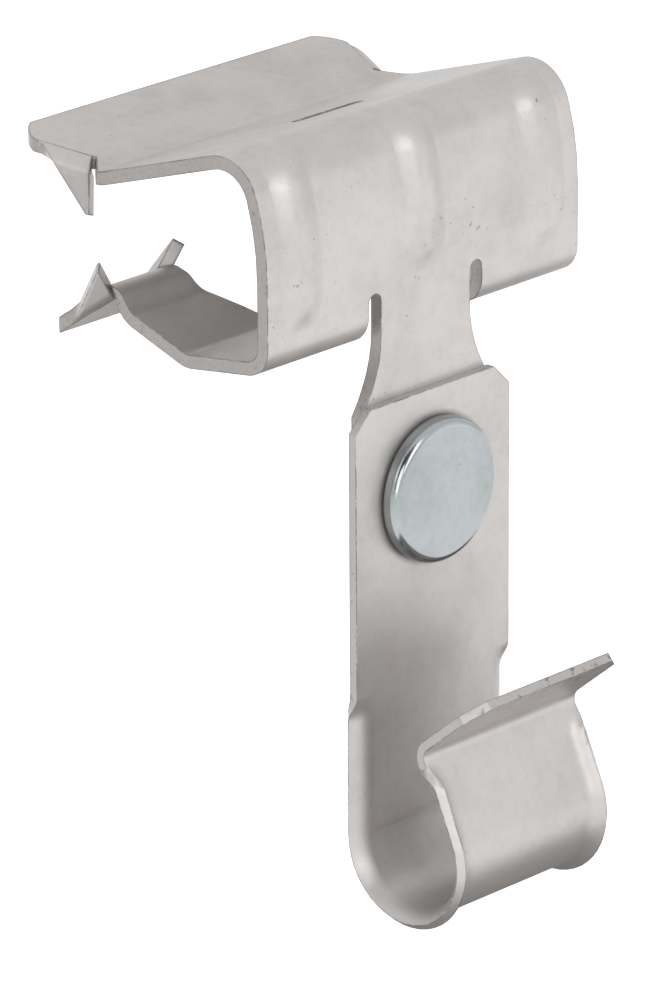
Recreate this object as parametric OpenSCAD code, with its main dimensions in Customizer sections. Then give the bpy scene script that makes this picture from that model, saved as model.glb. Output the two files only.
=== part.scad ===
// Beam flange cable clip: a hammer-on spring-steel flange clip with a riveted cable clip below it.
// Frame: X along the edge of the beam flange, +Y the way the jaws open, +Z up.
// The origin is where the edge of the flange meets the web, at half the flange's thickness.

/* [Flange clip sheet] */
// Thickness of the spring-steel sheet
sheet_t = 1.6; // [1.2:0.1:2]
// Width of the clip along the flange
clip_w = 51; // [47:0.5:60]
// Straight web above the middle of the flange
web_above = 0.4; // [0.2:0.1:4]
// Straight web below the middle of the flange
web_below = 7.1; // [6.5:0.1:10]

/* [Upper jaw] */
// Inner radius of the bowed upper web
bow_r = 30; // [26:0.5:45]
// Lean of the web at the top of the bow, in degrees
bow_turn = 18; // [10:1:22]
// Inner radius of the bend into the top plate
top_r = 4; // [3:0.1:5]
// Slope of the top plate down to the knee, in degrees
plate_drop = 18; // [14:1:21]
// Flat length of the top plate, bend to knee
plate_len = 18.2; // [16:0.2:24]
// Radius inside the knee
knee_r = 3; // [2:0.25:5]
// Slope of the lead-in flap up from the knee, in degrees
flap_rise = 10.5; // [7:0.5:14]
// Flat length of the lead-in flap
flap_len = 12.8; // [12:0.2:16]
// Radius of the flap's corners
flap_corner_r = 5; // [2:0.5:5]
// Length of the pry slot in the top plate
pry_len = 11; // [8:0.5:14]
// Width of the pry slot
pry_w = 1.8; // [1.4:0.1:2.4]
// Pry slot's distance from the top bend
pry_from_bend = 7; // [6:0.25:10]

/* [Lower jaw] */
// Inner radius of the bend below the web
low_r = 2; // [1.6:0.1:3]
// Slope of the arm's floor, in degrees
floor_drop = 8.5; // [4:0.5:12]
// Flat length of the floor
floor_len = 9; // [8:0.2:12]
// Slope of the ramp, in degrees
ramp_rise = 18.5; // [14:0.5:23]
// Flat length of the ramp
ramp_len = 7.8; // [6:0.2:10]
// Steepest slope just before the ridge, in degrees
kick_rise = 55; // [46:1:60]
// Flat length before the ridge
kick_len = 0.9; // [0.5:0.1:2]
// Slope of the lead-in below the ridge, in degrees
lead_drop = 36; // [28:1:42]
// Flat length of the lead-in
lead_len = 10; // [9.4:0.2:12]
// Inner radius of the bends in the arms
arm_bend_r = 2.6; // [2:0.1:4]
// Radius under the ridge
ridge_r = 0.8; // [0.5:0.1:1.2]
// Width of each arm at its mouth
arm_mouth_w = 10.2; // [9:0.2:11.4]
// Length in which the arms narrow to that width
arm_taper_len = 20; // [17:0.5:21]
// Radius of the arm's mouth corners
arm_corner_r = 1.6; // [0.8:0.2:2]

/* [Barbs] */
// Inner radius of a barb's fold
barb_r = 0.8; // [0.6:0.1:1.2]
// Front of the upper barbs, back from the mouth
barb_front = 3.6; // [3.5:0.1:4]
// Where the upper barbs' lances leave the edge, back from the mouth
barb_lance = 13.2; // [12.4:0.1:13.4]
// Inner end of the upper barbs' lances, in from the edge
barb_w = 2.6; // [2.2:0.1:3.2]
// Lead of that inner end towards the mouth
barb_skew = 2.8; // [2.2:0.1:3.4]
// Width of the blank's ears that the upper barbs are bent from
barb_ear = 3.8; // [3.2:0.1:4.4]
// Lie of the upper barbs' tips behind the lance
barb_hook = 1.7; // [1:0.1:2]
// Bend of the upper barbs, in degrees
barb_turn = 68; // [58:1:76]
// Front of the lower barbs, back from the mouth
low_barb_front = 1.7; // [1.5:0.1:2.2]
// Where the lower barbs' lances leave the edge, back from the mouth
low_barb_lance = 11; // [10.4:0.1:11.2]
// Inner end of the lower barbs' lances, in from the edge
low_barb_w = 1.6; // [1.4:0.1:2.2]
// Lead of that inner end towards the mouth
low_barb_skew = 1.6; // [1.2:0.1:2]
// Width of the blank's ears that the lower barbs are bent from
low_barb_ear = 3.2; // [2.8:0.1:3.6]
// Lie of the lower barbs' tips behind the lance
low_barb_hook = 1.9; // [1.4:0.1:2.2]
// Bend of the lower barbs, in degrees
low_barb_turn = 42; // [36:1:50]
// Gap left by a lance
lance_gap = 0.3; // [0.2:0.05:0.5]

/* [Ribs] */
// Width of a stiffening rib at its foot
rib_w = 7.6; // [6:0.2:9]
// Height of a rib
rib_h = 0.95; // [0.6:0.05:1.1]
// Distance of the side ribs from the middle one
rib_pitch = 20; // [17:0.25:20.5]
// Height above the web's foot where the side ribs stand full
rib_foot = 4.6; // [4:0.1:6]
// Run of a rib on to the top plate
rib_run = 2; // [1:0.1:3]

/* [Leg] */
// Width of the neck between the relief slots
neck_w = 14.6; // [13:0.2:17]
// Width of the relief slots beside the neck
relief_w = 2; // [1.6:0.1:2.6]
// Height of the relief slots in the straight web
relief_h = 2.4; // [1.8:0.1:3]
// Width of the leg behind the cable clip
leg_w = 21.2; // [19:0.2:23]
// Straight neck below the web
neck_len = 2.5; // [1:0.25:6]
// Height of the flare from neck to leg
flare_h = 9.5; // [7:0.5:12]
// Leg below the rivet
leg_below = 14; // [12:0.5:18]
// Corner cut at the foot of the leg
leg_cut = 2; // [1:0.25:3]

/* [Cable clip] */
// Thickness of the cable clip's strip
strip_t = 1.1; // [0.8:0.05:1.3]
// Width of the strip
strip_w = 25.4; // [24:0.2:28]
// Strip above the rivet
strip_above = 11.9; // [10.5:0.1:14]
// Corner cut at the top of the strip
strip_cut = 2.5; // [1.5:0.25:3.5]
// Inner radius of the belly that holds the cable
belly_r = 7; // [6.4:0.1:8]
// Centre of the belly below the rivet
belly_drop = 39.4; // [36:0.2:44]
// Flared trough above the belly's centre
trough_len = 13.7; // [10:0.1:15]
// Inward lean of the front leg, in degrees
lean = 24; // [16:1:28]
// Length of the front leg
front_len = 9.6; // [8.5:0.1:11]
// Bend radius at the pinch
pinch_r = 1.5; // [1:0.1:2.2]
// Lean of the lip from upright, in degrees
lip_lean = 50; // [40:1:58]
// Length of the lip
lip_len = 9.8; // [9:0.2:13]
// Corner cut of the lip
lip_cut = 2.5; // [1:0.25:3.5]
// Radius of the rolled margins
margin_r = 3; // [2.5:0.1:4]
// Roll of the margins away from the cable, in degrees
margin_turn = 50; // [35:1:58]
// Length in which the margins start and end
margin_run = 3.4; // [2.5:0.1:4.5]
// Depth of the round cable seat in the belly
seat_depth = 0.05; // [0.03:0.01:0.1]

/* [Rivet] */
// Distance of the rivet below the middle of the flange
rivet_drop = 29.6; // [28:0.1:34]
// Diameter of the rivet's head
head_d = 17.2; // [15:0.2:18.4]
// Height of the head
head_h = 2.2; // [1.9:0.1:2.6]
// Rounding of the head's rim
head_round = 1.05; // [0.6:0.05:1.2]
// Rounding under the head
foot_round = 0.5; // [0.3:0.05:0.6]
// Diameter of the shank
shank_d = 6.4; // [5:0.1:7]
// Room round the shank
shank_gap = 0.05; // [0.02:0.01:0.1]
// Diameter of the clinched tail
tail_d = 11; // [9.5:0.25:13]
// Height of the tail
tail_h = 1.8; // [1.4:0.1:2.2]

/* [Hidden] */
$fn = 96;

clip_steel = [0.74, 0.73, 0.71];
strip_steel = [0.76, 0.75, 0.73];
rivet_zinc = [0.80, 0.84, 0.86];

over = 1;
arc_step = 8;
rib_sink = sheet_t / 2;
rib_arc_pts = 6;
rib_rows = 5;
rib_dip = 0.05;
rib_end = 0.03;
flare_steps = 6;
barb_root = 1.2;
barb_skim = 0.04;
barb_blunt = 0.93;
barb_shy = 0.25;
barb_tuck = 0.15;
margin_pts = 6;
margin_rows = 8;
round_steps = 8;
corner_share = 0.96;
neck_half = neck_w / 2;
arm_in = neck_half + relief_w;
arm_mouth_in = clip_w / 2 - arm_mouth_w;
rivet_z = -rivet_drop;
seat_y = -sheet_t - strip_t;
leg_foot_z = rivet_z - leg_below;
hole_r = shank_d / 2 + shank_gap;
belly_y = seat_y - belly_r;
belly_z = rivet_z - belly_drop;
trough_z = belly_z + trough_len;
margin_len = (margin_r + strip_t / 2) * margin_turn * PI / 180;
margin_flat = strip_w / 2 - margin_len;

// A fold is a list of steps [flat length, turn, radius on the inside of the turn].
// A positive turn is towards the sheet's second face, a negative one towards its first.
upper_fold = [
    [0, bow_turn, bow_r],
    [0, 90 + plate_drop - bow_turn, top_r],
    [plate_len, -plate_drop - flap_rise, knee_r],
    [flap_len, 0, 0]];
lower_fold = [
    [0, 90 - floor_drop, low_r],
    [floor_len, floor_drop + ramp_rise, arm_bend_r],
    [ramp_len, kick_rise - ramp_rise, arm_bend_r],
    [kick_len, -kick_rise - lead_drop, ridge_r],
    [lead_len, 0, 0]];

// Directions in the side view, as [y, z]: along a heading, and across the sheet to its second face
function along(h) = [cos(h), sin(h)];
function across(h, side) = side * [sin(h), -cos(h)];

// Points along the first face of a folded sheet, each as [[y, z], heading].
// The second face is on the right of the heading where side is 1, on its left where it is -1.
function folded(steps, t, p, h, side, i = 0) =
    i == len(steps) ? [] :
    let (turn = steps[i][1], flat = steps[i][0], q = p + flat * along(h))
    let (to = turn > 0 ? side : -side, r = turn > 0 ? t + steps[i][2] : steps[i][2])
    let (centre = q + r * across(h, to), n = max(1, ceil(abs(turn) / arc_step)))
    let (start = flat > 0 ? [[p, h]] : [])
    let (arc = [for (k = [0:n]) let (g = h - to * abs(turn) * k / n) [centre - r * across(g, to), g]])
    turn == 0 ? concat(start, [[q, h]])
        : concat(start, arc, folded(steps, t, arc[n][0], arc[n][1], side, i + 1));

function first_face(path) = [for (f = path) f[0]];
function second_face(path, t, side) = [for (f = path) f[0] + t * across(f[1], side)];
function reversed(list) = [for (i = [len(list) - 1:-1:0]) list[i]];
function last(list) = list[len(list) - 1];
function part_of(list, count) = [for (i = [0:count - 1]) list[i]];

// The sheet along a path, as an outline in the side view
function sheet_outline(path, t, side) = concat(first_face(path), reversed(second_face(path, t, side)));

// A side-view outline carried along X from x0 to x1
module across_x(outline, x0, x1) {
    translate([x0, 0, 0]) rotate([90, 0, 90]) linear_extrude(x1 - x0) polygon(outline);
}

module both_sides() { children(); mirror([1, 0, 0]) children(); }

// A closed solid through rings of points, all with the same count and anticlockwise seen from the last one.
// The ends of a two-faced ring, whose second half runs back opposite its first, are closed by strips.
module loft(rings, two_faced = false) {
    n = len(rings[0]);
    m = len(rings);
    sides = [for (i = [0:m - 2]) for (j = [0:n - 1])
        each [[i * n + j, (i + 1) * n + (j + 1) % n, i * n + (j + 1) % n],
              [i * n + j, (i + 1) * n + j, (i + 1) * n + (j + 1) % n]]];
    end = two_faced ? [for (j = [0:n / 2 - 2]) [j, j + 1, n - 2 - j, n - 1 - j]] : [[for (j = [0:n - 1]) j]];
    ends = [for (face = end) each [face, [for (j = reversed(face)) (m - 1) * n + j]]];
    polyhedron([for (ring = rings) each ring], concat(sides, ends));
}

upper_start = [-sheet_t, web_above];
lower_start = [-sheet_t, -web_below];
upper_path = folded(upper_fold, sheet_t, upper_start, 90, 1);
lower_path = folded(lower_fold, sheet_t, lower_start, -90, -1);
plate_start = last(folded(part_of(upper_fold, 2), sheet_t, upper_start, 90, 1));

// A barb is a corner of a mouth, lanced behind and bent into the jaw about a slanting fold.
// Its shape is [lance at the edge, inner end of the lance, that end's lead, ear, bend, front, hook].
upper_barb = [barb_lance, barb_w, barb_skew, barb_ear, barb_turn, barb_front, barb_hook];
lower_barb =
    [low_barb_lance, low_barb_w, low_barb_skew, low_barb_ear, low_barb_turn, low_barb_front, low_barb_hook];
// Its flat pattern on the sheet's first face is a triangle, the two ends of the fold and the tip,
// with points as [in from the edge, back from the mouth].
function barb_flat(shape) =
    [[0, shape[5]], [shape[1], shape[0] - shape[2]], [-shape[3], shape[0] + shape[6]]];
function unit(v) = v / norm(v);

// A barb at the edge x_edge of the sheet that ends at mouth; inward is 1 where the sheet lies at smaller x
module barb(shape, mouth, side, x_edge, inward) {
    flat = barb_flat(shape);
    fold_len = norm(flat[1] - flat[0]) - barb_shy;
    u = unit(flat[1] - flat[0]);
    out = [-u[1], u[0]];
    reach = (flat[2] - flat[0]) * out;
    tip_u = (flat[2] - flat[0]) * u;
    t = sheet_t - 2 * barb_skim;
    bend_len = (barb_r + t) * shape[4] * PI / 180;
    path = folded([[0, shape[4], barb_r], [reach * barb_blunt - bend_len, 0, 0]], t, [0, -barb_skim], 0, 1);
    second = second_face(path, t, 1);
    n = len(path) - 3;
    function place(at_u, q) = let (f = flat[0] + at_u * u + (q[0] - barb_tuck) * out)
        let (p = mouth[0] - f[1] * along(mouth[1]) - q[1] * across(mouth[1], side))
        [x_edge - inward * f[0], p[0], p[1]];
    function ring(s, q0, q1) = let (k = s / reach)
        let (start = lance_gap * (1 - k) + tip_u * k, end = fold_len * (1 - k) + tip_u * k)
        let (points = [place(start, q0), place(end, q0), place(end, q1), place(start, q1)])
        inward * side > 0 ? points : reversed(points);
    loft(concat(
        [ring(0, [-barb_root, -barb_skim], [-barb_root, -barb_skim - t])],
        [for (k = [0:n]) ring(bend_len * k / n, path[k][0], second[k])],
        [ring(reach * barb_blunt, last(path)[0], last(second))]));
}

// What frees a barb from the sheet, up to just outside the edge
module barb_cut(shape, mouth, side, x_edge, inward) {
    flat = barb_flat(shape);
    cut = unit([0, shape[0]] - flat[1]);
    gap = lance_gap * [cut[1], -cut[0]];
    translate([x_edge, mouth[0][0], mouth[0][1]]) rotate([mouth[1] + 180, 0, 0])
        translate([0, 0, side > 0 ? -over : -sheet_t - over]) mirror([inward > 0 ? 1 : 0, 0, 0])
            linear_extrude(sheet_t + 2 * over) polygon([
                flat[0] - over * unit(flat[1] - flat[0]), flat[1], flat[1] + gap,
                [0, shape[0]] + gap + 2 * over * cut, [-3 * over, shape[0]], [-3 * over, 0]]);
}

// Upper jaw: bowed web, plate, knee and flap, with a barb at each end of the mouth
module upper_jaw() {
    mouth = last(upper_path);
    difference() {
        across_x(sheet_outline(upper_path, sheet_t, 1), -clip_w / 2, clip_w / 2);
        both_sides() barb_cut(upper_barb, mouth, 1, clip_w / 2, 1);
    }
    both_sides() barb(upper_barb, mouth, 1, clip_w / 2, 1);
}

// Lower jaw: an arm on each side of the leg, with a barb on each edge of its mouth
module lower_jaw() {
    mouth = last(lower_path);
    both_sides() {
        difference() {
            across_x(sheet_outline(lower_path, sheet_t, -1), arm_in, clip_w / 2);
            arm_taper();
            barb_cut(lower_barb, mouth, -1, clip_w / 2, 1);
            barb_cut(lower_barb, mouth, -1, arm_mouth_in, -1);
        }
        barb(lower_barb, mouth, -1, clip_w / 2, 1);
        barb(lower_barb, mouth, -1, arm_mouth_in, -1);
    }
}

// What narrows an arm towards its mouth, so that the leg can be cut from between the arms
module arm_taper() {
    reach = mouth_reach(lower_path, -1) + over;
    edge = [for (k = [0:flare_steps]) let (s = k / flare_steps)
        [arm_in + (arm_mouth_in - arm_in) * s * s, low_r + arm_taper_len * s]];
    translate([0, 0, -2 * clip_w]) linear_extrude(2 * clip_w) polygon(concat(
        [[arm_in - over, low_r]], edge, [[arm_mouth_in, reach], [arm_in - over, reach]]));
}

// What rounds a mouth corner at [x, y] off, for a corner that points to side in X.
// The round meets both edges at a slight angle, as a blanking tool's does.
module corner_cut(x, y, r, side) {
    inset = r * corner_share;
    translate([x, y]) mirror([side < 0 ? 1 : 0, 0]) difference() {
        translate([-inset, -inset]) square(inset + over);
        translate([-inset, -inset]) circle(r);
    }
}

function mouth_reach(path, side) =
    max([for (p = concat(first_face(path), second_face(path, sheet_t, side))) p[0]]);

module mouth_corners() {
    linear_extrude(clip_w) both_sides()
        corner_cut(clip_w / 2, mouth_reach(upper_path, 1), flap_corner_r, 1);
    low_reach = mouth_reach(lower_path, -1);
    translate([0, 0, -clip_w]) linear_extrude(clip_w) both_sides() {
        corner_cut(clip_w / 2, low_reach, arm_corner_r, 1);
        corner_cut(arm_mouth_in, low_reach, arm_corner_r, -1);
    }
}

// Straight web, and the leg with its neck
module web_and_leg() {
    flare_z = -web_below - neck_len;
    half = concat(
        [[clip_w / 2, web_above], [clip_w / 2, -web_below], [neck_half, -web_below]],
        [for (k = [0:flare_steps]) let (s = k / flare_steps)
            [neck_half + (leg_w / 2 - neck_half) * s * s, flare_z - flare_h * s]],
        [[leg_w / 2, leg_foot_z + leg_cut], [leg_w / 2 - leg_cut, leg_foot_z]]);
    rotate([90, 0, 0]) linear_extrude(sheet_t)
        polygon(concat(half, [for (p = reversed(half)) [-p[0], p[1]]]));
}

module relief_slots() {
    rotate([90, 0, 0]) translate([0, 0, -over]) linear_extrude(sheet_t + 2 * over) both_sides() {
        translate([neck_half, -web_below - over]) square([relief_w, relief_h - relief_w / 2 + over]);
        translate([neck_half + relief_w / 2, -web_below + relief_h - relief_w / 2]) circle(d = relief_w);
    }
}

// Pry slot through the top plate
module pry_slot() {
    at = plate_start[0] + pry_from_bend * along(plate_start[1]);
    linear_extrude(clip_w) translate([0, at[0]]) {
        square([pry_len - pry_w, pry_w], center = true);
        both_sides() translate([(pry_len - pry_w) / 2, 0]) circle(d = pry_w);
    }
}

// Section of a rib as [x, depth] points: a soft wave on the face at the given depth
function rib_section(face, size) = concat(
    [for (k = [-rib_arc_pts:rib_arc_pts]) let (a = 180 * k / rib_arc_pts)
        [rib_w / 2 * k / rib_arc_pts, face + rib_dip - size * rib_h * (1 + cos(a)) / 2]],
    [[rib_w / 2, face + rib_sink], [-rib_w / 2, face + rib_sink]]);

// A rib that rises out of the straight web and dies away past the top bend
module rib(x, start_z, fade, face) {
    path = folded([[web_above - start_z, bow_turn, bow_r], upper_fold[1], [rib_run, 0, 0]],
        sheet_t, [-sheet_t, start_z], 90, 1);
    bend_from = len(folded([[web_above - start_z, bow_turn, bow_r]], sheet_t, [-sheet_t, start_z], 90, 1));
    rows = [for (i = [1:len(path) - 1]) if (i != bend_from && i != len(path) - 2) i];
    run = concat(
        [for (k = [0:rib_rows]) let (s = k / rib_rows)
            [path[0][0] - fade * (1 - s) * along(90), 90, eased(s)]],
        [for (i = rows) [path[i][0], path[i][1],
            1 - eased(max(0, i - bend_from) / (len(path) - 1 - bend_from))]]);
    loft([for (f = run) [for (s = rib_section(face, rib_end + (1 - rib_end) * f[2]))
        let (p = f[0] + s[1] * across(f[1], 1)) [x + s[0], p[0], p[1]]]]);
}

module ribs(face) {
    fade = rib_foot - over / 2;
    low = -web_below + rib_foot;
    for (side = [-1, 1]) rib(side * rib_pitch, low, fade, face);
    rib(0, low + relief_h, fade, face);
}

module rivet_hole() {
    translate([0, over, rivet_z]) rotate([90, 0, 0]) cylinder(r = hole_r, h = sheet_t + strip_t + 2 * over);
}

module flange_clip() {
    color(clip_steel) difference() {
        union() {
            upper_jaw();
            lower_jaw();
            web_and_leg();
            ribs(0);
        }
        ribs(sheet_t);
        relief_slots();
        pry_slot();
        mouth_corners();
        rivet_hole();
    }
}

// Half of the strip's section as [x, depth] points on one face, with the margin rolled back by turn
function margin_face(turn, depth) = [for (k = [0:margin_pts]) let (s = margin_len * k / margin_pts)
    turn < 1 ? [margin_flat + s, depth] :
    let (r = margin_len / (turn * PI / 180), a = turn * k / margin_pts, q = r + depth - strip_t / 2)
    [margin_flat + q * sin(a), strip_t / 2 - r + q * cos(a)]];
function whole_face(half) = concat([for (p = reversed(half)) [-p[0], p[1]]], half);
function strip_section(turn) =
    concat(whole_face(margin_face(turn, 0)), reversed(whole_face(margin_face(turn, strip_t))));
function strip_ring(place, turn, width = strip_w) = [for (s = strip_section(turn))
    let (p = place[0] + s[1] * across(place[1], 1)) [s[0] * width / strip_w, p[0], p[1]]];
function eased(k) = k * k * (3 - 2 * k);

// The strip as one folded sheet: plate, trough, belly, front leg, pinch and lip.
// Its margins roll back at the top of the trough and run out again before the pinch.
module strip() {
    top = [-sheet_t, rivet_z + strip_above];
    start = [-sheet_t, trough_z + margin_run];
    belly = folded([[0, 180 + lean, belly_r], [front_len - margin_run, 0, 0]], strip_t,
        [-sheet_t, belly_z], -90, 1);
    leg_top = last(belly);
    pinch = folded([[margin_run, -lean - lip_lean, pinch_r], [lip_len - lip_cut, 0, 0]], strip_t,
        leg_top[0], leg_top[1], 1);
    lip = last(pinch);
    loft(concat(
        [strip_ring([top, -90], 0, strip_w - 2 * strip_cut)],
        [strip_ring([top - [0, strip_cut], -90], 0)],
        [for (k = [0:margin_rows]) let (s = k / margin_rows)
            strip_ring([start - [0, margin_run * s], -90], margin_turn * eased(s))],
        [for (i = [0:len(belly) - 1]) if (i != len(belly) - 2) strip_ring(belly[i], margin_turn)],
        [for (k = [1:margin_rows]) let (s = k / margin_rows)
            strip_ring([leg_top[0] + margin_run * s * along(leg_top[1]), leg_top[1]],
                margin_turn * (1 - eased(s)))],
        [for (i = [2:len(pinch) - 1]) if (i != len(pinch) - 2) strip_ring(pinch[i], 0)],
        [strip_ring([lip[0] + lip_cut * along(lip[1]), lip[1]], 0, strip_w - 2 * lip_cut)]), true);
}

// The belly is sized on a mandrel, which leaves a true round seat between the margins
module cable_seat() {
    translate([-strip_w / 2, belly_y, belly_z]) rotate([0, 90, 0])
        cylinder(r = belly_r + seat_depth, h = strip_w);
}

module cable_clip() {
    color(strip_steel) difference() {
        strip();
        cable_seat();
        rivet_hole();
    }
}

// A quarter of an oval about [x, y], from angle a0 to a1
function quarter(x, y, rx, ry, a0, a1) = [for (k = [0:round_steps])
    let (a = a0 + (a1 - a0) * k / round_steps) [x + rx * cos(a), y + ry * sin(a)]];

module rivet() {
    grip = sheet_t + strip_t;
    head_r = head_d / 2;
    tail_edge = tail_h / 4;
    color(rivet_zinc) translate([0, seat_y, rivet_z]) rotate([90, 0, 0]) rotate_extrude() polygon(concat(
        [[0, head_h]],
        quarter(head_r - head_round, head_h - head_round, head_round, head_round, 90, 0),
        quarter(head_r - foot_round, foot_round, foot_round, foot_round, 0, -90),
        [[shank_d / 2, 0], [shank_d / 2, -grip], [tail_d / 2, -grip]],
        quarter(0, -grip - tail_edge, tail_d / 2, tail_h - tail_edge, 0, -90)));
}

flange_clip();
cable_clip();
rivet();
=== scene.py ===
"""Beam flange cable clip: finishes for the three metal pieces, a plain stage and the camera."""

import math

import bmesh
import bpy
from bpy.props import FloatProperty, FloatVectorProperty, PointerProperty
from mathutils import Matrix, Vector


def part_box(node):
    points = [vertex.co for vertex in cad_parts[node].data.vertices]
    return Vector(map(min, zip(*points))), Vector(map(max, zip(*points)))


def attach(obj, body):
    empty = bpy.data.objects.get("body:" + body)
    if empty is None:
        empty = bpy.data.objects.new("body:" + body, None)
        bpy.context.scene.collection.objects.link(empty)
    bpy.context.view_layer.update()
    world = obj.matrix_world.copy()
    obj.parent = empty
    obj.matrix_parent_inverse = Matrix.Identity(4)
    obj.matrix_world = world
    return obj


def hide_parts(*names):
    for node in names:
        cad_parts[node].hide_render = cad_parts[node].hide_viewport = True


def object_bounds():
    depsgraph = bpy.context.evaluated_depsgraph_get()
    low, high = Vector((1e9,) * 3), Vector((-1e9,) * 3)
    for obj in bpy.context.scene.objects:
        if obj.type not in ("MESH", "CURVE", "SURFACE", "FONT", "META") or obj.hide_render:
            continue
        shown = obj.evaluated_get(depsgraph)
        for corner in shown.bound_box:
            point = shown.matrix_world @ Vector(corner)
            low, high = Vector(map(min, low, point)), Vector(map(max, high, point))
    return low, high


bl_info = {
    "name": "Beam Flange Cable Clip",
    "version": (1, 0, 0),
    "blender": (4, 5, 0),
    "location": "View3D > Sidebar > Cable Clip",
    "description": "Finishes a riveted flange clip and cable clip, and sets a plain stage round them",
    "category": "Object",
}

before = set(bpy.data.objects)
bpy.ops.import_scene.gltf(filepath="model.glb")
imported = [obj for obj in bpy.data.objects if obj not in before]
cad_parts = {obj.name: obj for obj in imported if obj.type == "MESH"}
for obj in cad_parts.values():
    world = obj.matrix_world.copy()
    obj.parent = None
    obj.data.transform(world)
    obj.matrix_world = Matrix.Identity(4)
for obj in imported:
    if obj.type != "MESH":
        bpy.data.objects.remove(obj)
cad_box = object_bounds()

BODY = "root"
MM = 0.001

# Points nearer than MERGE are one, edges under SHORTEST go, and folds under FLAT are taken as flat
MERGE = 0.008 * MM
SHORTEST = 0.004 * MM
FLAT = math.radians(0.4)
# Folds under these angles are shaded smooth
SHEET_SMOOTH = math.radians(40)
RIVET_SMOOTH = math.radians(50)

# How far the worn edges reach in from the mouth, and over what length they begin
MOUTH_DEPTH = 17 * MM
WORN_FADE = 4 * MM
# How far the lip's end reaches back from the front of the strip
LIP_DEPTH = 3 * MM
# Width of the painted contact shadow, a dark ring round the rivet's head
RIVET_SHADOW_WIDTH = 0.7 * MM
SHEET_METALLIC = 0.70

# Lamps, as [place from the middle of the part, size]
KEY = ((-0.14, -0.66, 0.38), 0.55)
FILL = ((-0.65, -0.10, 0.45), 0.50)
NEAR = ((-0.15, -0.18, 0.06), 0.14)
SIDE = ((0.45, -0.48, 0.06), 0.40)
# Cards, as [place, half width]. The first is placed from the middle of the part.
# The second is placed from the origin, and in height from the part's lowest point.
CAMERA_CARD = ((-0.29, -0.30, 0.25), 0.24)
FLOOR_CARD = ((0.05, 0.015, -0.06), 0.105)
FLOOR_HALF = 6.0
FLOOR_GLOW = 0.75


def colour(name, description, default):
    """A colour that a user would change."""
    return FloatVectorProperty(
        name=name, description=description, subtype="COLOR", size=3, min=0, max=1, default=default
    )


class ClipFinish(bpy.types.PropertyGroup):
    """Colours and fine sizes of the metal."""

    sheet: colour("Sheet", "Plated spring steel of the flange clip", (0.535, 0.514, 0.499))
    strip: colour("Strip", "Plated spring steel of the cable clip", (0.535, 0.512, 0.497))
    zinc: colour("Zinc", "Bright zinc plate of the rivet", (0.378, 0.400, 0.410))
    tarnish: colour("Tarnish", "Duller clouds in the plating", (0.440, 0.418, 0.402))
    # Speck colours the real pits, and also the painted contact shadow round the rivet and the painted shade
    # in the dark rim lines
    speck_and_shade: colour("Speck", "Small dark pits in the plating", (0.130, 0.118, 0.110))
    bloom: colour("Bloom", "Duller clouds in the zinc", (0.290, 0.325, 0.318))
    shear: colour("Shear", "Cut edges of the flange clip", (0.300, 0.286, 0.275))
    trim: colour("Trim", "Cut edges of the cable clip", (0.420, 0.402, 0.388))
    lip_lean: FloatProperty(
        name="Lip Lean", description="Lean of the cable clip's lip from upright", subtype="ANGLE",
        default=math.radians(50),
    )
    lip_foot: FloatProperty(
        name="Lip Foot", description="Height at which the cable clip's lip begins", unit="LENGTH",
        default=-56 * MM, precision=5,
    )
    worn_round: FloatProperty(
        name="Worn Round", description="What the edges at the mouth gain", unit="LENGTH",
        min=0, max=1.0 * MM, default=0.40 * MM, precision=5,
    )
    edge_round: FloatProperty(
        name="Edge Round", description="Radius of the tumbled edges", unit="LENGTH",
        min=0, max=0.5 * MM, default=0.26 * MM, precision=5,
    )


class ClipStage(bpy.types.PropertyGroup):
    """Floor, lamps and camera."""

    floor: colour("Floor", "Pale floor under the clip", (0.90, 0.90, 0.90))
    card: colour("Card", "Dark card that the rivet's rim shows", (0.02, 0.02, 0.022))
    low_card: colour("Low Card", "Grey card that the undersides show", (0.20, 0.185, 0.175))
    floor_drop: FloatProperty(
        name="Floor Drop", description="Distance of the floor below the clip", unit="LENGTH", default=0.20
    )
    key_power: FloatProperty(name="Key", description="Power of the large lamp", unit="POWER", default=1.7)
    fill_power: FloatProperty(name="Fill", description="Power of the second lamp", unit="POWER", default=0.5)
    near_power: FloatProperty(
        name="Near", description="Power of the small near lamp", unit="POWER", default=0.13
    )
    side_power: FloatProperty(
        name="Side", description="Power of the lamp on the right", unit="POWER", default=0.10
    )
    world: FloatProperty(name="World", description="Strength of the light from all round", default=0.58)
    azimuth: FloatProperty(
        name="Azimuth", description="Camera's turn to the left of the front", subtype="ANGLE",
        default=math.radians(46.02),
    )
    elevation: FloatProperty(
        name="Elevation", description="Camera's height above the horizon", subtype="ANGLE",
        default=math.radians(20.27),
    )
    roll: FloatProperty(
        name="Roll", description="Camera's turn about its view", subtype="ANGLE", default=math.radians(-0.36)
    )
    distance: FloatProperty(
        name="Distance", description="From the camera to the point it looks at", unit="LENGTH", default=0.8609
    )
    target: FloatVectorProperty(
        name="Target", description="Point the camera looks at", subtype="TRANSLATION", unit="LENGTH",
        default=(-15.62 * MM, -1.6 * MM, -27.25 * MM),
    )
    lens: FloatProperty(name="Lens", description="Focal length in millimetres", default=275.94)


# Node trees


def put(tree, value, socket):
    """Link another node's value to a socket, or set a plain one."""
    if isinstance(value, bpy.types.NodeSocket):
        tree.links.new(value, socket)
    else:
        socket.default_value = value


def add(tree, kind, inputs=(), **settings):
    """A node with its settings, and its inputs set or linked by name or number."""
    node = tree.nodes.new("ShaderNode" + kind)
    for name, value in settings.items():
        setattr(node, name, value)
    for name, value in dict(inputs).items():
        put(tree, value, node.inputs[name])
    return node


def noise(tree, place, scale, detail=3.0, roughness=0.55):
    return add(
        tree, "TexNoise", {"Vector": place, "Scale": scale, "Detail": detail, "Roughness": roughness}
    ).outputs["Fac"]


def math_node(tree, operation, a, b=0.0, clamp=False):
    return add(tree, "Math", {0: a, 1: b}, operation=operation, use_clamp=clamp).outputs[0]


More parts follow.
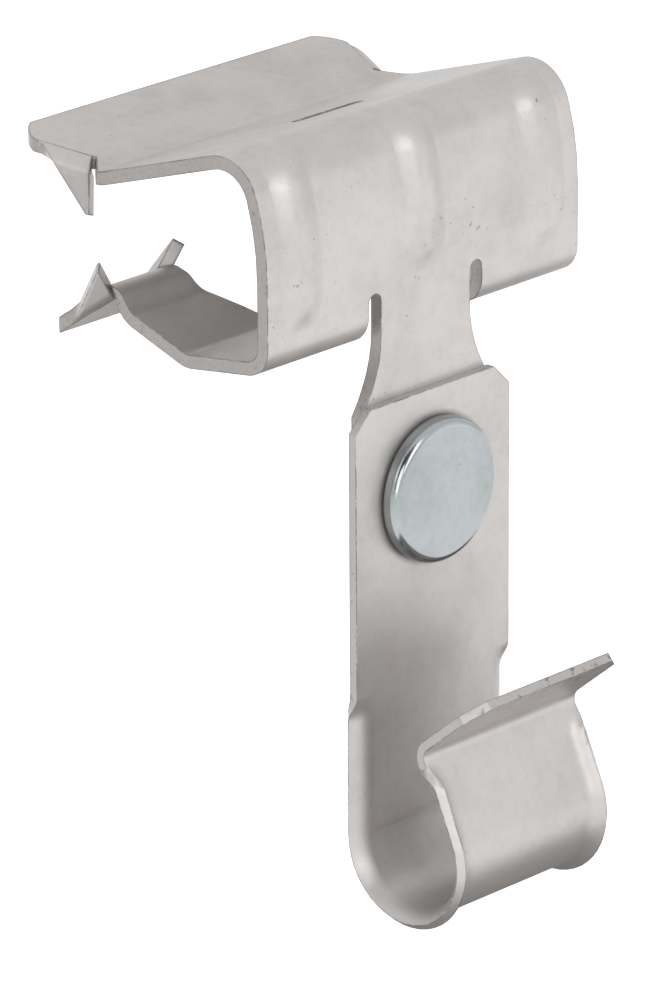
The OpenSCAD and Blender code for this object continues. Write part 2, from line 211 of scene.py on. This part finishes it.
def dot(tree, a, b):
    return add(tree, "VectorMath", {0: a, 1: b}, operation="DOT_PRODUCT").outputs["Value"]


def ramp(tree, value, low, high):
    """0 at low and below, 1 at high and above."""
    node = add(tree, "MapRange", {"Value": value, "From Min": low, "From Max": high}, clamp=True)
    return node.outputs["Result"]


def blend(tree, factor, a, b):
    """Colour a where factor is 0, b where it is 1."""
    node = tree.nodes.new("ShaderNodeMix")
    node.data_type = "RGBA"
    put(tree, factor, node.inputs["Factor"])
    put(tree, a, node.inputs[6])
    put(tree, b, node.inputs[7])
    return node.outputs[2]


def group(name, inputs, outputs):
    """A new shader group with its sockets, its input node and its output node."""
    tree = bpy.data.node_groups.new(name, "ShaderNodeTree")
    for label, kind in inputs:
        tree.interface.new_socket(label, in_out="INPUT", socket_type="NodeSocket" + kind)
    for label, kind in outputs:
        tree.interface.new_socket(label, in_out="OUTPUT", socket_type="NodeSocket" + kind)
    return tree, tree.nodes.new("NodeGroupInput").outputs, tree.nodes.new("NodeGroupOutput").inputs


def plating_group():
    """Clouds, fine grain and dark specks of a tumbled, plated sheet."""
    tree, given, out = group(
        "Tumbled Plating",
        [("Place", "Vector"), ("Metal", "Color"), ("Tarnish", "Color"), ("Speck", "Color"),
         ("Clouds", "Float"), ("Specks", "Float"), ("Roughness", "Float")],
        [("Color", "Color"), ("Roughness", "Float"), ("Height", "Float")],
    )
    place = given["Place"]
    wide = noise(tree, place, 110.0, 4.0)
    fine = noise(tree, place, 950.0, 3.0, 0.6)
    grain = noise(tree, place, 5200.0, 2.0, 0.6)
    dots = noise(tree, place, 1500.0, 2.0, 0.5)
    clouds = math_node(tree, "MULTIPLY", ramp(tree, wide, 0.42, 0.70), given["Clouds"])
    mottle = math_node(tree, "MULTIPLY", ramp(tree, fine, 0.46, 0.76), 0.34)
    cloudy = math_node(tree, "ADD", clouds, mottle, True)
    patch = ramp(tree, noise(tree, place, 160.0, 2.0), 0.46, 0.62)
    pits = math_node(tree, "MULTIPLY", ramp(tree, dots, 0.69, 0.76), patch)
    pits = math_node(tree, "MULTIPLY", pits, given["Specks"])
    metal = blend(tree, cloudy, given["Metal"], given["Tarnish"])
    tree.links.new(blend(tree, pits, metal, given["Speck"]), out["Color"])
    rough = math_node(tree, "ADD", given["Roughness"], math_node(tree, "MULTIPLY", fine, 0.10))
    rough = math_node(tree, "ADD", rough, math_node(tree, "MULTIPLY", pits, 0.2), True)
    tree.links.new(rough, out["Roughness"])
    swell = math_node(tree, "MULTIPLY", noise(tree, place, 260.0, 2.0), 0.9)
    height = math_node(tree, "ADD", swell, math_node(tree, "MULTIPLY", grain, 0.10))
    height = math_node(tree, "ADD", height, math_node(tree, "MULTIPLY", fine, 0.22))
    height = math_node(tree, "SUBTRACT", height, math_node(tree, "MULTIPLY", pits, 0.35))
    tree.links.new(height, out["Height"])
    return tree


def shear_group():
    """Burnished and torn bands on a cut edge, streaked across the sheet."""
    tree, given, out = group(
        "Sheared Edge",
        [("Place", "Vector"), ("Metal", "Color"), ("Shear", "Color"), ("Speck", "Color"), ("Edge", "Float")],
        [("Color", "Color"), ("Height", "Float")],
    )
    place = given["Place"]
    torn = noise(tree, place, 2600.0, 4.0, 0.7)
    dark = ramp(tree, noise(tree, place, 800.0, 3.0, 0.65), 0.63, 0.72)
    bare = math_node(tree, "ADD", math_node(tree, "MULTIPLY", ramp(tree, torn, 0.35, 0.75), 0.35), 0.65)
    face = blend(tree, bare, given["Metal"], given["Shear"])
    face = blend(tree, math_node(tree, "MULTIPLY", dark, 0.5), face, given["Speck"])
    tree.links.new(blend(tree, given["Edge"], given["Metal"], face), out["Color"])
    tree.links.new(math_node(tree, "MULTIPLY", torn, given["Edge"]), out["Height"])
    return tree


def burr_and_shade_rim_group():
    """Broken dark line where the surface turns: partly burr and dirt where a cut edge meets the face of the
    sheet, partly painted shade along edges and folds.
    """
    tree, given, out = group(
        "Burred And Shaded Rim", [("Place", "Vector"), ("Rim", "Float")], [("Burr And Shade", "Float")]
    )
    place = given["Place"]
    broken = ramp(tree, noise(tree, place, 900.0, 4.0, 0.7), 0.38, 0.52)
    stretch = ramp(tree, noise(tree, place, 110.0, 2.0), 0.40, 0.55)
    dark = math_node(tree, "ADD", math_node(tree, "MULTIPLY", stretch, 0.60), 0.32)
    share = math_node(tree, "MULTIPLY", broken, dark)
    tree.links.new(math_node(tree, "MULTIPLY", share, given["Rim"]), out["Burr And Shade"])
    return tree


def rgba(value):
    return (*value, 1.0)


def shared_group(name, build):
    """The group of that name, built at its first use."""
    return bpy.data.node_groups.get(name) or build()


def used_group(tree, shared, inputs):
    """The outputs of a shared group, put in a tree with these inputs."""
    node = tree.nodes.new("ShaderNodeGroup")
    node.node_tree = shared
    for name, value in inputs.items():
        put(tree, value, node.inputs[name])
    return node.outputs


def metal_material(name, metallic):
    """An empty metal material: its tree, its shader and the object coordinates."""
    material = bpy.data.materials.new(name)
    material.use_nodes = True
    tree = material.node_tree
    tree.nodes.clear()
    shader = add(tree, "BsdfPrincipled", {"Metallic": metallic})
    output = add(tree, "OutputMaterial")
    tree.links.new(shader.outputs[0], output.inputs["Surface"])
    return material, tree, shader, add(tree, "TexCoord").outputs


def sheet_material(
    name, finish, metal, cut, clouds, specks, roughness, lip=None, worn_from=None, shadow_seat=None
):
    """Plated sheet with sheared edges on the faces that look along X, and on a lip's end.

    A lip is the way its end looks, and the Y in front of which it lies.
    Edges behind the Y worn_from are rounder.
    A seat is the height and radius of a rivet's head; a dark ring of painted contact shadow is laid round it.
    """
    material, tree, shader, coords = metal_material(name, SHEET_METALLIC)
    place = coords["Object"]
    plating = used_group(tree, shared_group("Tumbled Plating", plating_group), {
        "Place": place, "Metal": rgba(metal), "Tarnish": rgba(finish.tarnish), "Speck": rgba(finish.speck_and_shade),
        "Clouds": clouds, "Specks": specks, "Roughness": roughness,
    })
    way = add(tree, "SeparateXYZ", {0: coords["Normal"]}).outputs
    edge = ramp(tree, math_node(tree, "ABSOLUTE", way["X"]), 0.80, 0.93)
    spot = add(tree, "SeparateXYZ", {0: place}).outputs
    depth = spot["Y"]
    if lip is not None:
        facing = ramp(tree, dot(tree, coords["Normal"], lip[0]), 0.90, 0.97)
        in_front = ramp(tree, depth, lip[1], lip[1] - 0.1 * MM)
        edge = math_node(tree, "MAXIMUM", edge, math_node(tree, "MULTIPLY", facing, in_front))
    sheared = used_group(tree, shared_group("Sheared Edge", shear_group), {
        "Place": place, "Metal": plating["Color"], "Shear": rgba(cut), "Speck": rgba(finish.speck_and_shade),
        "Edge": edge,
    })
    radius = finish.edge_round
    if worn_from is not None:
        worn = ramp(tree, depth, worn_from, worn_from + WORN_FADE)
        worn = math_node(tree, "MULTIPLY", worn, finish.worn_round)
        radius = math_node(tree, "ADD", worn, radius)
    rounded = add(tree, "Bevel", {"Radius": radius}, samples=6).outputs[0]
    # Dark rim line wherever the surface turns: partly burr and dirt on the cut edges, partly painted shade
    # along edges and folds
    rim_round = add(tree, "Bevel", {"Radius": finish.edge_round}, samples=8).outputs[0]
    turned = ramp(tree, dot(tree, rim_round, add(tree, "NewGeometry").outputs["Normal"]), 0.98, 0.93)
    rim = used_group(tree, shared_group("Burred And Shaded Rim", burr_and_shade_rim_group), {"Place": place, "Rim": turned})
    lined = blend(tree, rim["Burr And Shade"], sheared["Color"], rgba(finish.speck_and_shade))
    if lip is not None:
        pits = ramp(tree, noise(tree, place, 1000.0, 3.0, 0.6), 0.60, 0.68)
        near_end = ramp(tree, depth, lip[1] + 2 * MM, lip[1] - 1.5 * MM)
        above = ramp(tree, spot["Z"], finish.lip_foot, finish.lip_foot + 1 * MM)
        pits = math_node(tree, "MULTIPLY", math_node(tree, "MULTIPLY", pits, near_end), above)
        lined = blend(tree, math_node(tree, "MULTIPLY", pits, 0.7), lined, rgba(finish.speck_and_shade))
    # A dark ring of painted contact shadow round the rivet's head, in the speck colour
    if shadow_seat is not None:
        away = add(tree, "VectorMath", {0: place, 1: (0, 0, shadow_seat[0])}, operation="SUBTRACT").outputs[0]
        away = add(tree, "VectorMath", {0: away, 1: (1, 0, 1)}, operation="MULTIPLY").outputs[0]
        reach = add(tree, "VectorMath", {0: away}, operation="LENGTH").outputs["Value"]
        painted_rivet_shadow = math_node(tree, "MULTIPLY", ramp(tree, reach, shadow_seat[1] + RIVET_SHADOW_WIDTH, shadow_seat[1]), 0.6)
        lined = blend(tree, painted_rivet_shadow, lined, rgba(finish.speck_and_shade))
    tree.links.new(lined, shader.inputs["Base Color"])
    tree.links.new(plating["Roughness"], shader.inputs["Roughness"])
    height = math_node(tree, "ADD", plating["Height"], math_node(tree, "MULTIPLY", sheared["Height"], 1.6))
    bump = add(tree, "Bump", {"Height": height, "Normal": rounded, "Strength": 0.55, "Distance": 0.06 * MM})
    tree.links.new(bump.outputs[0], shader.inputs["Normal"])
    return material


def zinc_material(name, finish):
    """Smooth bluish zinc on the rivet, with faint clouds and a few marks."""
    material, tree, shader, coords = metal_material(name, 1.0)
    place = coords["Object"]
    plating = used_group(tree, shared_group("Tumbled Plating", plating_group), {
        "Place": place, "Metal": rgba(finish.zinc), "Tarnish": rgba(finish.bloom),
        "Speck": rgba(finish.speck_and_shade), "Clouds": 0.85, "Specks": 0.45, "Roughness": 0.14,
    })
    tree.links.new(plating["Color"], shader.inputs["Base Color"])
    tree.links.new(plating["Roughness"], shader.inputs["Roughness"])
    bump = add(tree, "Bump", {"Height": plating["Height"], "Strength": 0.45, "Distance": 0.05 * MM})
    tree.links.new(bump.outputs[0], shader.inputs["Normal"])
    return material


# Pieces


def joined_copy(node, name, smooth_below):
    """A copy of a node with its loose triangles joined, shaded smooth across folds under an angle."""
    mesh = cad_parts[node].data.copy()
    mesh.name = name
    mesh.materials.clear()
    bm = bmesh.new()
    bm.from_mesh(mesh)
    bmesh.ops.remove_doubles(bm, verts=bm.verts, dist=MERGE)
    bmesh.ops.dissolve_degenerate(bm, edges=bm.edges, dist=SHORTEST)
    bmesh.ops.dissolve_limit(bm, angle_limit=FLAT, verts=bm.verts, edges=bm.edges)
    bm.to_mesh(mesh)
    bm.free()
    mesh.shade_smooth()
    mesh.set_sharp_from_angle(angle=smooth_below)
    piece = bpy.data.objects.new(name, mesh)
    bpy.context.scene.collection.objects.link(piece)
    weighted = piece.modifiers.new("Even Shading", "WEIGHTED_NORMAL")
    weighted.keep_sharp = True
    weighted.weight = 80
    return piece


def dress(piece, node, material):
    piece.data.materials.append(material)
    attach(piece, BODY)
    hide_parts(node)


class CLIP_OT_flange_clip(bpy.types.Operator):
    """Finish the folded flange clip"""

    bl_idname = "cable_clip.flange_clip"
    bl_label = "Flange Clip"

    def execute(self, context):
        finish = context.scene.clip_finish
        piece = joined_copy("flange_clip", "flange_sheet", SHEET_SMOOTH)
        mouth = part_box("flange_clip")[1].y - MOUTH_DEPTH
        material = sheet_material(
            "Clip Plating", finish, finish.sheet, finish.shear, 0.65, 0.9, 0.36, worn_from=mouth
        )
        dress(piece, "flange_clip", material)
        return {"FINISHED"}


class CLIP_OT_cable_clip(bpy.types.Operator):
    """Finish the bent strip that holds the cable"""

    bl_idname = "cable_clip.cable_clip"
    bl_label = "Cable Clip"

    def execute(self, context):
        finish = context.scene.clip_finish
        piece = joined_copy("cable_clip", "cable_strip", SHEET_SMOOTH)
        way = (0.0, -math.sin(finish.lip_lean), math.cos(finish.lip_lean))
        lip = (way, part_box("cable_clip")[0].y + LIP_DEPTH)
        # Height and radius of the rivet's head, where the painted contact shadow ring goes
        low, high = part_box("rivet")
        shadow_seat = ((low.z + high.z) / 2, (high.x - low.x) / 2)
        material = sheet_material(
            "Strip Plating", finish, finish.strip, finish.trim, 0.6, 0.35, 0.38, lip, shadow_seat=shadow_seat
        )
        dress(piece, "cable_clip", material)
        return {"FINISHED"}


class CLIP_OT_rivet(bpy.types.Operator):
    """Finish the rivet"""

    bl_idname = "cable_clip.rivet"
    bl_label = "Rivet"

    def execute(self, context):
        finish = context.scene.clip_finish
        piece = joined_copy("rivet", "rivet_zinc", RIVET_SMOOTH)
        dress(piece, "rivet", zinc_material("Rivet Zinc", finish))
        return {"FINISHED"}


# Stage


def seen_directly(tree):
    """1 for rays from the camera, a mirror or clear glass, 0 for other light."""
    path = add(tree, "LightPath").outputs
    seen = math_node(tree, "MAXIMUM", path["Is Camera Ray"], path["Is Glossy Ray"])
    return math_node(tree, "MAXIMUM", seen, path["Is Transmission Ray"])


def floor_material(stage):
    material = bpy.data.materials.new("Pale Floor")
    material.use_nodes = True
    tree = material.node_tree
    tree.nodes.clear()
    shader = add(tree, "BsdfPrincipled", {
        "Base Color": rgba(stage.floor), "Roughness": 0.9, "Emission Color": (1, 1, 1, 1),
    })
    glow = math_node(tree, "MULTIPLY", seen_directly(tree), FLOOR_GLOW)
    tree.links.new(glow, shader.inputs["Emission Strength"])
    output = add(tree, "OutputMaterial")
    tree.links.new(shader.outputs[0], output.inputs["Surface"])
    return material


def make_world(stage):
    world = bpy.data.worlds.new("Soft White")
    world.use_nodes = True
    tree = world.node_tree
    tree.nodes.clear()
    seen = seen_directly(tree)
    strength = add(tree, "MapRange", {"Value": seen, "To Min": stage.world, "To Max": 1.0})
    back = add(tree, "Background", {"Color": (1, 1, 1, 1), "Strength": strength.outputs["Result"]})
    output = add(tree, "OutputWorld")
    tree.links.new(back.outputs[0], output.inputs["Surface"])
    bpy.context.scene.world = world


def lamp(name, spot, look_at, power):
    """A round lamp at a spot, [place from what it looks at, size]."""
    light = bpy.data.lights.new(name, "AREA")
    light.shape = "DISK"
    light.size = spot[1]
    light.energy = power
    obj = bpy.data.objects.new(name, light)
    obj.location = look_at + Vector(spot[0])
    obj.rotation_euler = (look_at - obj.location).to_track_quat("-Z", "Y").to_euler()
    bpy.context.scene.collection.objects.link(obj)


def dark_card(name, shade, size, place, look_at):
    """A card that only mirrors see, which gives the metal something dark to show."""
    bm = bmesh.new()
    bmesh.ops.create_grid(bm, x_segments=1, y_segments=1, size=size)
    mesh = bpy.data.meshes.new(name)
    bm.to_mesh(mesh)
    bm.free()
    mesh.transform((Vector(look_at) - Vector(place)).to_track_quat("-Z", "Y").to_matrix().to_4x4())
    mesh.transform(Matrix.Translation(place))
    material = bpy.data.materials.new(name.replace("_", " ").title())
    material.use_nodes = True
    material.node_tree.nodes["Principled BSDF"].inputs["Base Color"].default_value = rgba(shade)
    mesh.materials.append(material)
    card = bpy.data.objects.new(name, mesh)
    card.visible_camera = False
    card.visible_diffuse = False
    card.visible_shadow = False
    bpy.context.scene.collection.objects.link(card)


def make_camera(stage):
    camera = bpy.data.objects.new("Camera", bpy.data.cameras.new("Camera"))
    camera.data.sensor_width = 36
    camera.data.lens = stage.lens
    camera.data.clip_start = 0.01
    camera.data.clip_end = 50
    level = Vector((-math.sin(stage.azimuth), -math.cos(stage.azimuth), 0))
    back = level * math.cos(stage.elevation) + Vector((0, 0, math.sin(stage.elevation)))
    turn = (-back).to_track_quat("-Z", "Y").to_matrix().to_4x4() @ Matrix.Rotation(stage.roll, 4, "Z")
    camera.matrix_world = Matrix.Translation(Vector(stage.target) + back * stage.distance) @ turn
    bpy.context.scene.collection.objects.link(camera)
    bpy.context.scene.camera = camera


class CLIP_OT_stage(bpy.types.Operator):
    """Set the floor, the lamps and the camera"""

    bl_idname = "cable_clip.stage"
    bl_label = "Stage"

    def execute(self, context):
        stage = context.scene.clip_stage
        bm = bmesh.new()
        bmesh.ops.create_grid(bm, x_segments=1, y_segments=1, size=FLOOR_HALF)
        bmesh.ops.translate(bm, verts=bm.verts, vec=(0, 0, cad_box[0].z - stage.floor_drop))
        mesh = bpy.data.meshes.new("floor")
        bm.to_mesh(mesh)
        bm.free()
        mesh.materials.append(floor_material(stage))
        floor = bpy.data.objects.new("floor", mesh)
        context.scene.collection.objects.link(floor)
        make_world(stage)
        middle = (cad_box[0] + cad_box[1]) / 2
        lamp("Key", KEY, middle, stage.key_power)
        lamp("Fill", FILL, middle, stage.fill_power)
        lamp("Near", NEAR, middle, stage.near_power)
        lamp("Side", SIDE, middle, stage.side_power)
        dark_card("camera_card", stage.card, CAMERA_CARD[1], middle + Vector(CAMERA_CARD[0]), middle)
        under = Vector(FLOOR_CARD[0]) + Vector((0, 0, cad_box[0].z))
        dark_card("floor_card", stage.low_card, FLOOR_CARD[1], under, under + Vector((0, 0, 1)))
        make_camera(stage)
        context.scene.view_settings.view_transform = "Standard"
        return {"FINISHED"}


class CLIP_PT_panel(bpy.types.Panel):
    """Sizes, colours and steps of the cable clip"""

    bl_idname = "CLIP_PT_panel"
    bl_label = "Cable Clip"
    bl_space_type = "VIEW_3D"
    bl_region_type = "UI"
    bl_category = "Cable Clip"

    def draw(self, context):
        for settings in (context.scene.clip_finish, context.scene.clip_stage):
            for name in settings.__annotations__:
                self.layout.prop(settings, name)
        for step in STEPS:
            self.layout.operator(step.bl_idname)


STEPS = (CLIP_OT_flange_clip, CLIP_OT_cable_clip, CLIP_OT_rivet, CLIP_OT_stage)
CLASSES = (ClipFinish, ClipStage, *STEPS, CLIP_PT_panel)


def register():
    for cls in CLASSES:
        bpy.utils.register_class(cls)
    bpy.types.Scene.clip_finish = PointerProperty(type=ClipFinish)
    bpy.types.Scene.clip_stage = PointerProperty(type=ClipStage)


def unregister():
    del bpy.types.Scene.clip_stage
    del bpy.types.Scene.clip_finish
    for cls in reversed(CLASSES):
        bpy.utils.unregister_class(cls)


def main():
    register()
    bpy.ops.cable_clip.flange_clip()
    bpy.ops.cable_clip.cable_clip()
    bpy.ops.cable_clip.rivet()
    bpy.ops.cable_clip.stage()


if __name__ == "__main__":
    main()
